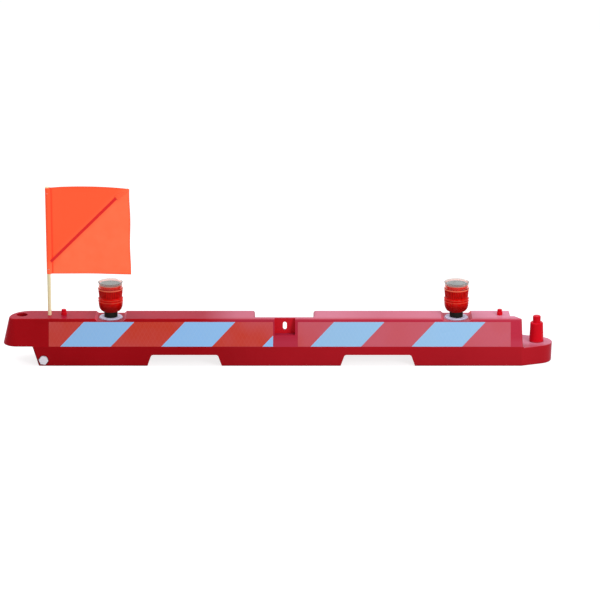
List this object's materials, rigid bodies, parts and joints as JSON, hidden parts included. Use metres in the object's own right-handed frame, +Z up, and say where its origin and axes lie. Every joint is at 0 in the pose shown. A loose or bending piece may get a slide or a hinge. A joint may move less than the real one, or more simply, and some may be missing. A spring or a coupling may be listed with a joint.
{
  "type": "plastic barricade",
  "caption": "Low hollow water-filled barricade with slanted reflective stripes, screw-in fill caps that carry warning lights, a flag, fork pockets, and a pin and hole to couple it.",
  "frame": {"origin": "on the ground, under the middle of the barricade's length and width", "axes": "+X along the barricade towards the tongue, -Y towards its front, +Z up"},
  "size_m": [2.4372, 0.2032, 0.796],
  "materials": {
    "red_polyethylene": "satin moulded",
    "white_sheeting": "reflective film",
    "red_sheeting": "reflective film",
    "white_plastic": "moulded",
    "grey_plastic": "moulded",
    "black_plastic": "moulded",
    "black_rubber": "moulded",
    "red_lens": "ribbed, transparent",
    "clear_plastic": "transparent",
    "solar_cells": "smooth",
    "steel": "zinc plated",
    "battery_wrap": "printed wrap left plain",
    "circuit_board": "solder mask",
    "led_resin": "smooth",
    "pale_wood": "sanded",
    "orange_cloth": "woven",
    "red_plastic_strip": "smooth"
  },
  "bodies": {
    "barrier": {"overhang_shell": "red_polyethylene", "left_upper_shell": "red_polyethylene", "left_lower_shell": "red_polyethylene", "middle_shell": "red_polyethylene", "right_upper_shell": "red_polyethylene", "right_lower_shell": "red_polyethylene", "tongue_shell": "red_polyethylene", "left_stacking_cup": "red_polyethylene", "right_stacking_cup": "red_polyethylene", "drain_insert": "white_plastic", "front_left_white_stripes": "white_sheeting", "front_left_red_stripes": "red_sheeting", "front_right_white_stripes": "white_sheeting", "front_right_red_stripes": "red_sheeting", "rear_left_white_stripes": "white_sheeting", "rear_left_red_stripes": "red_sheeting", "rear_right_white_stripes": "white_sheeting", "rear_right_red_stripes": "red_sheeting", "left_fill_ring": "white_plastic", "right_fill_ring": "white_plastic"},
    "left_gasket": {"left_cap_gasket": "black_rubber"},
    "left_cap": {"left_fill_cap": "white_plastic", "left_light_base": "black_plastic", "left_light_washer": "steel", "left_light_bolt": "steel", "left_light_nut": "steel", "left_battery_holder": "black_plastic", "left_battery_cells": "battery_wrap", "left_circuit_board": "circuit_board", "left_led_post": "grey_plastic", "left_leds": "led_resin"},
    "left_seal": {"left_light_seal": "black_rubber"},
    "left_light": {"left_light_lens": "red_lens", "left_light_cover": "clear_plastic", "left_panel_tray": "grey_plastic", "left_solar_panel": "solar_cells"},
    "right_gasket": {"right_cap_gasket": "black_rubber"},
    "right_cap": {"right_fill_cap": "white_plastic", "right_light_base": "black_plastic", "right_light_washer": "steel", "right_light_bolt": "steel", "right_light_nut": "steel", "right_battery_holder": "black_plastic", "right_battery_cells": "battery_wrap", "right_circuit_board": "circuit_board", "right_led_post": "grey_plastic", "right_leds": "led_resin"},
    "right_seal": {"right_light_seal": "black_rubber"},
    "right_light": {"right_light_lens": "red_lens", "right_light_cover": "clear_plastic", "right_panel_tray": "grey_plastic", "right_solar_panel": "solar_cells"},
    "drain_seal": {"drain_gasket": "black_rubber"},
    "drain_screw": {"drain_plug": "white_plastic"},
    "flag_swivel_bush": {"flag_bush": "red_polyethylene"},
    "flag": {"flag_pole": "pale_wood", "flag_cloth": "orange_cloth", "flag_stay": "red_plastic_strip", "stay_pocket": "orange_cloth", "flag_staples": "steel"}
  },
  "joints": [
    {"name": "left_cap_lift", "type": "slide", "parent": "barrier", "child": "left_gasket", "axis": [0, 0, 1], "range_m": [0, 0.0121]},
    {"name": "left_cap_turn", "type": "hinge", "parent": "left_gasket", "child": "left_cap", "pos_m": [-0.7425, 0, 0.197], "axis": [0, 0, 1], "range_deg": [0, 540]},
    {"name": "left_light_lift", "type": "slide", "parent": "left_cap", "child": "left_seal", "axis": [0, 0, 1], "range_m": [0, 0.0101]},
    {"name": "left_light_turn", "type": "hinge", "parent": "left_seal", "child": "left_light", "pos_m": [-0.7425, 0, 0.197], "axis": [0, 0, 1], "range_deg": [0, 900]},
    {"name": "right_cap_lift", "type": "slide", "parent": "barrier", "child": "right_gasket", "axis": [0, 0, 1], "range_m": [0, 0.0121]},
    {"name": "right_cap_turn", "type": "hinge", "parent": "right_gasket", "child": "right_cap", "pos_m": [0.791, 0, 0.197], "axis": [0, 0, 1], "range_deg": [0, 540]},
    {"name": "right_light_lift", "type": "slide", "parent": "right_cap", "child": "right_seal", "axis": [0, 0, 1], "range_m": [0, 0.0101]},
    {"name": "right_light_turn", "type": "hinge", "parent": "right_seal", "child": "right_light", "pos_m": [0.791, 0, 0.197], "axis": [0, 0, 1], "range_deg": [0, 900]},
    {"name": "drain_lift", "type": "slide", "parent": "barrier", "child": "drain_seal", "axis": [0, -1, 0], "range_m": [0, 0.0121]},
    {"name": "drain_turn", "type": "hinge", "parent": "drain_seal", "child": "drain_screw", "pos_m": [-1.039, -0.093, 0.0265], "axis": [0, -1, 0], "range_deg": [0, 1080]},
    {"name": "flag_swivel", "type": "hinge", "parent": "barrier", "child": "flag_swivel_bush", "pos_m": [-1.014, 0, 0.208], "axis": [0, 0, 1], "continuous": true},
    {"name": "flag_lift", "type": "slide", "parent": "flag_swivel_bush", "child": "flag", "axis": [0, 0, 1], "range_m": [0, 0.095]}
  ],
  "couplings": [
    {"joint": "left_cap_lift", "follows": "left_cap_turn", "m_per_rad": 0.0012732},
    {"joint": "left_light_lift", "follows": "left_light_turn", "m_per_rad": 0.00063662},
    {"joint": "right_cap_lift", "follows": "right_cap_turn", "m_per_rad": 0.0012732},
    {"joint": "right_light_lift", "follows": "right_light_turn", "m_per_rad": 0.00063662},
    {"joint": "drain_lift", "follows": "drain_turn", "m_per_rad": 0.00063662}
  ]
}
